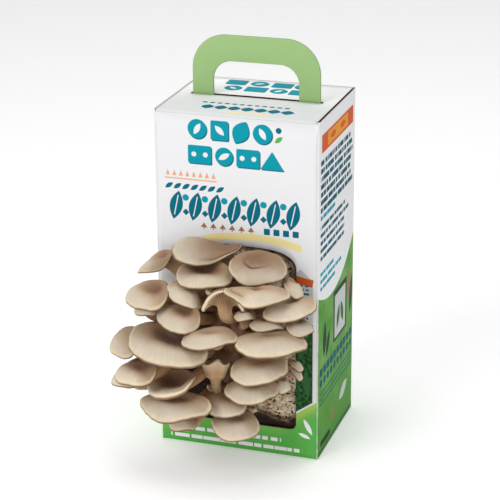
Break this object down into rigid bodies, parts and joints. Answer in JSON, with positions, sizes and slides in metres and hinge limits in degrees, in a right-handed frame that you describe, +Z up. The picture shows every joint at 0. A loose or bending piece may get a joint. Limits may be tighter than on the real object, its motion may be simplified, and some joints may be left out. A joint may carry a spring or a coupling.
{
  "type": "oyster mushroom grow kit",
  "caption": "Oyster mushroom grow kit: tall printed carton with a carry handle and an arched window, from which fan-shaped mushrooms on curved stems grow out of a bagged block.",
  "frame": {"origin": "centre of the carton's underside, on the surface that it stands on", "axes": "+Z up, -Y out of the carton's window towards the viewer, +X to the right as seen from the front"},
  "size_m": [0.1445, 0.1558, 0.283],
  "materials": {
    "white_board": "coated, semi-gloss",
    "green_board": "coated, semi-gloss",
    "bag_film": "glossy film",
    "sawdust": "rough, matt",
    "mushroom_flesh": "satin, slightly damp"
  },
  "bodies": {
    "root": {"carton_body": "white_board", "carton_lid": "white_board", "carry_handle": "green_board", "growing_block": "sawdust", "grow_bag": "bag_film", "cluster_base": "mushroom_flesh", "mushroom_01": "mushroom_flesh", "mushroom_02": "mushroom_flesh", "mushroom_03": "mushroom_flesh", "mushroom_04": "mushroom_flesh", "mushroom_05": "mushroom_flesh", "mushroom_06": "mushroom_flesh", "mushroom_07": "mushroom_flesh", "mushroom_08": "mushroom_flesh", "mushroom_09": "mushroom_flesh", "mushroom_10": "mushroom_flesh", "mushroom_11": "mushroom_flesh", "mushroom_12": "mushroom_flesh", "mushroom_13": "mushroom_flesh", "mushroom_14": "mushroom_flesh", "mushroom_15": "mushroom_flesh", "mushroom_16": "mushroom_flesh", "mushroom_17": "mushroom_flesh", "mushroom_18": "mushroom_flesh", "mushroom_19": "mushroom_flesh", "mushroom_20": "mushroom_flesh", "mushroom_21": "mushroom_flesh", "mushroom_22": "mushroom_flesh", "mushroom_23": "mushroom_flesh", "mushroom_24": "mushroom_flesh", "mushroom_25": "mushroom_flesh", "mushroom_26": "mushroom_flesh", "mushroom_27": "mushroom_flesh", "mushroom_28": "mushroom_flesh", "mushroom_29": "mushroom_flesh", "mushroom_30": "mushroom_flesh", "mushroom_31": "mushroom_flesh", "mushroom_32": "mushroom_flesh", "mushroom_33": "mushroom_flesh"}
  },
  "joints": []
}
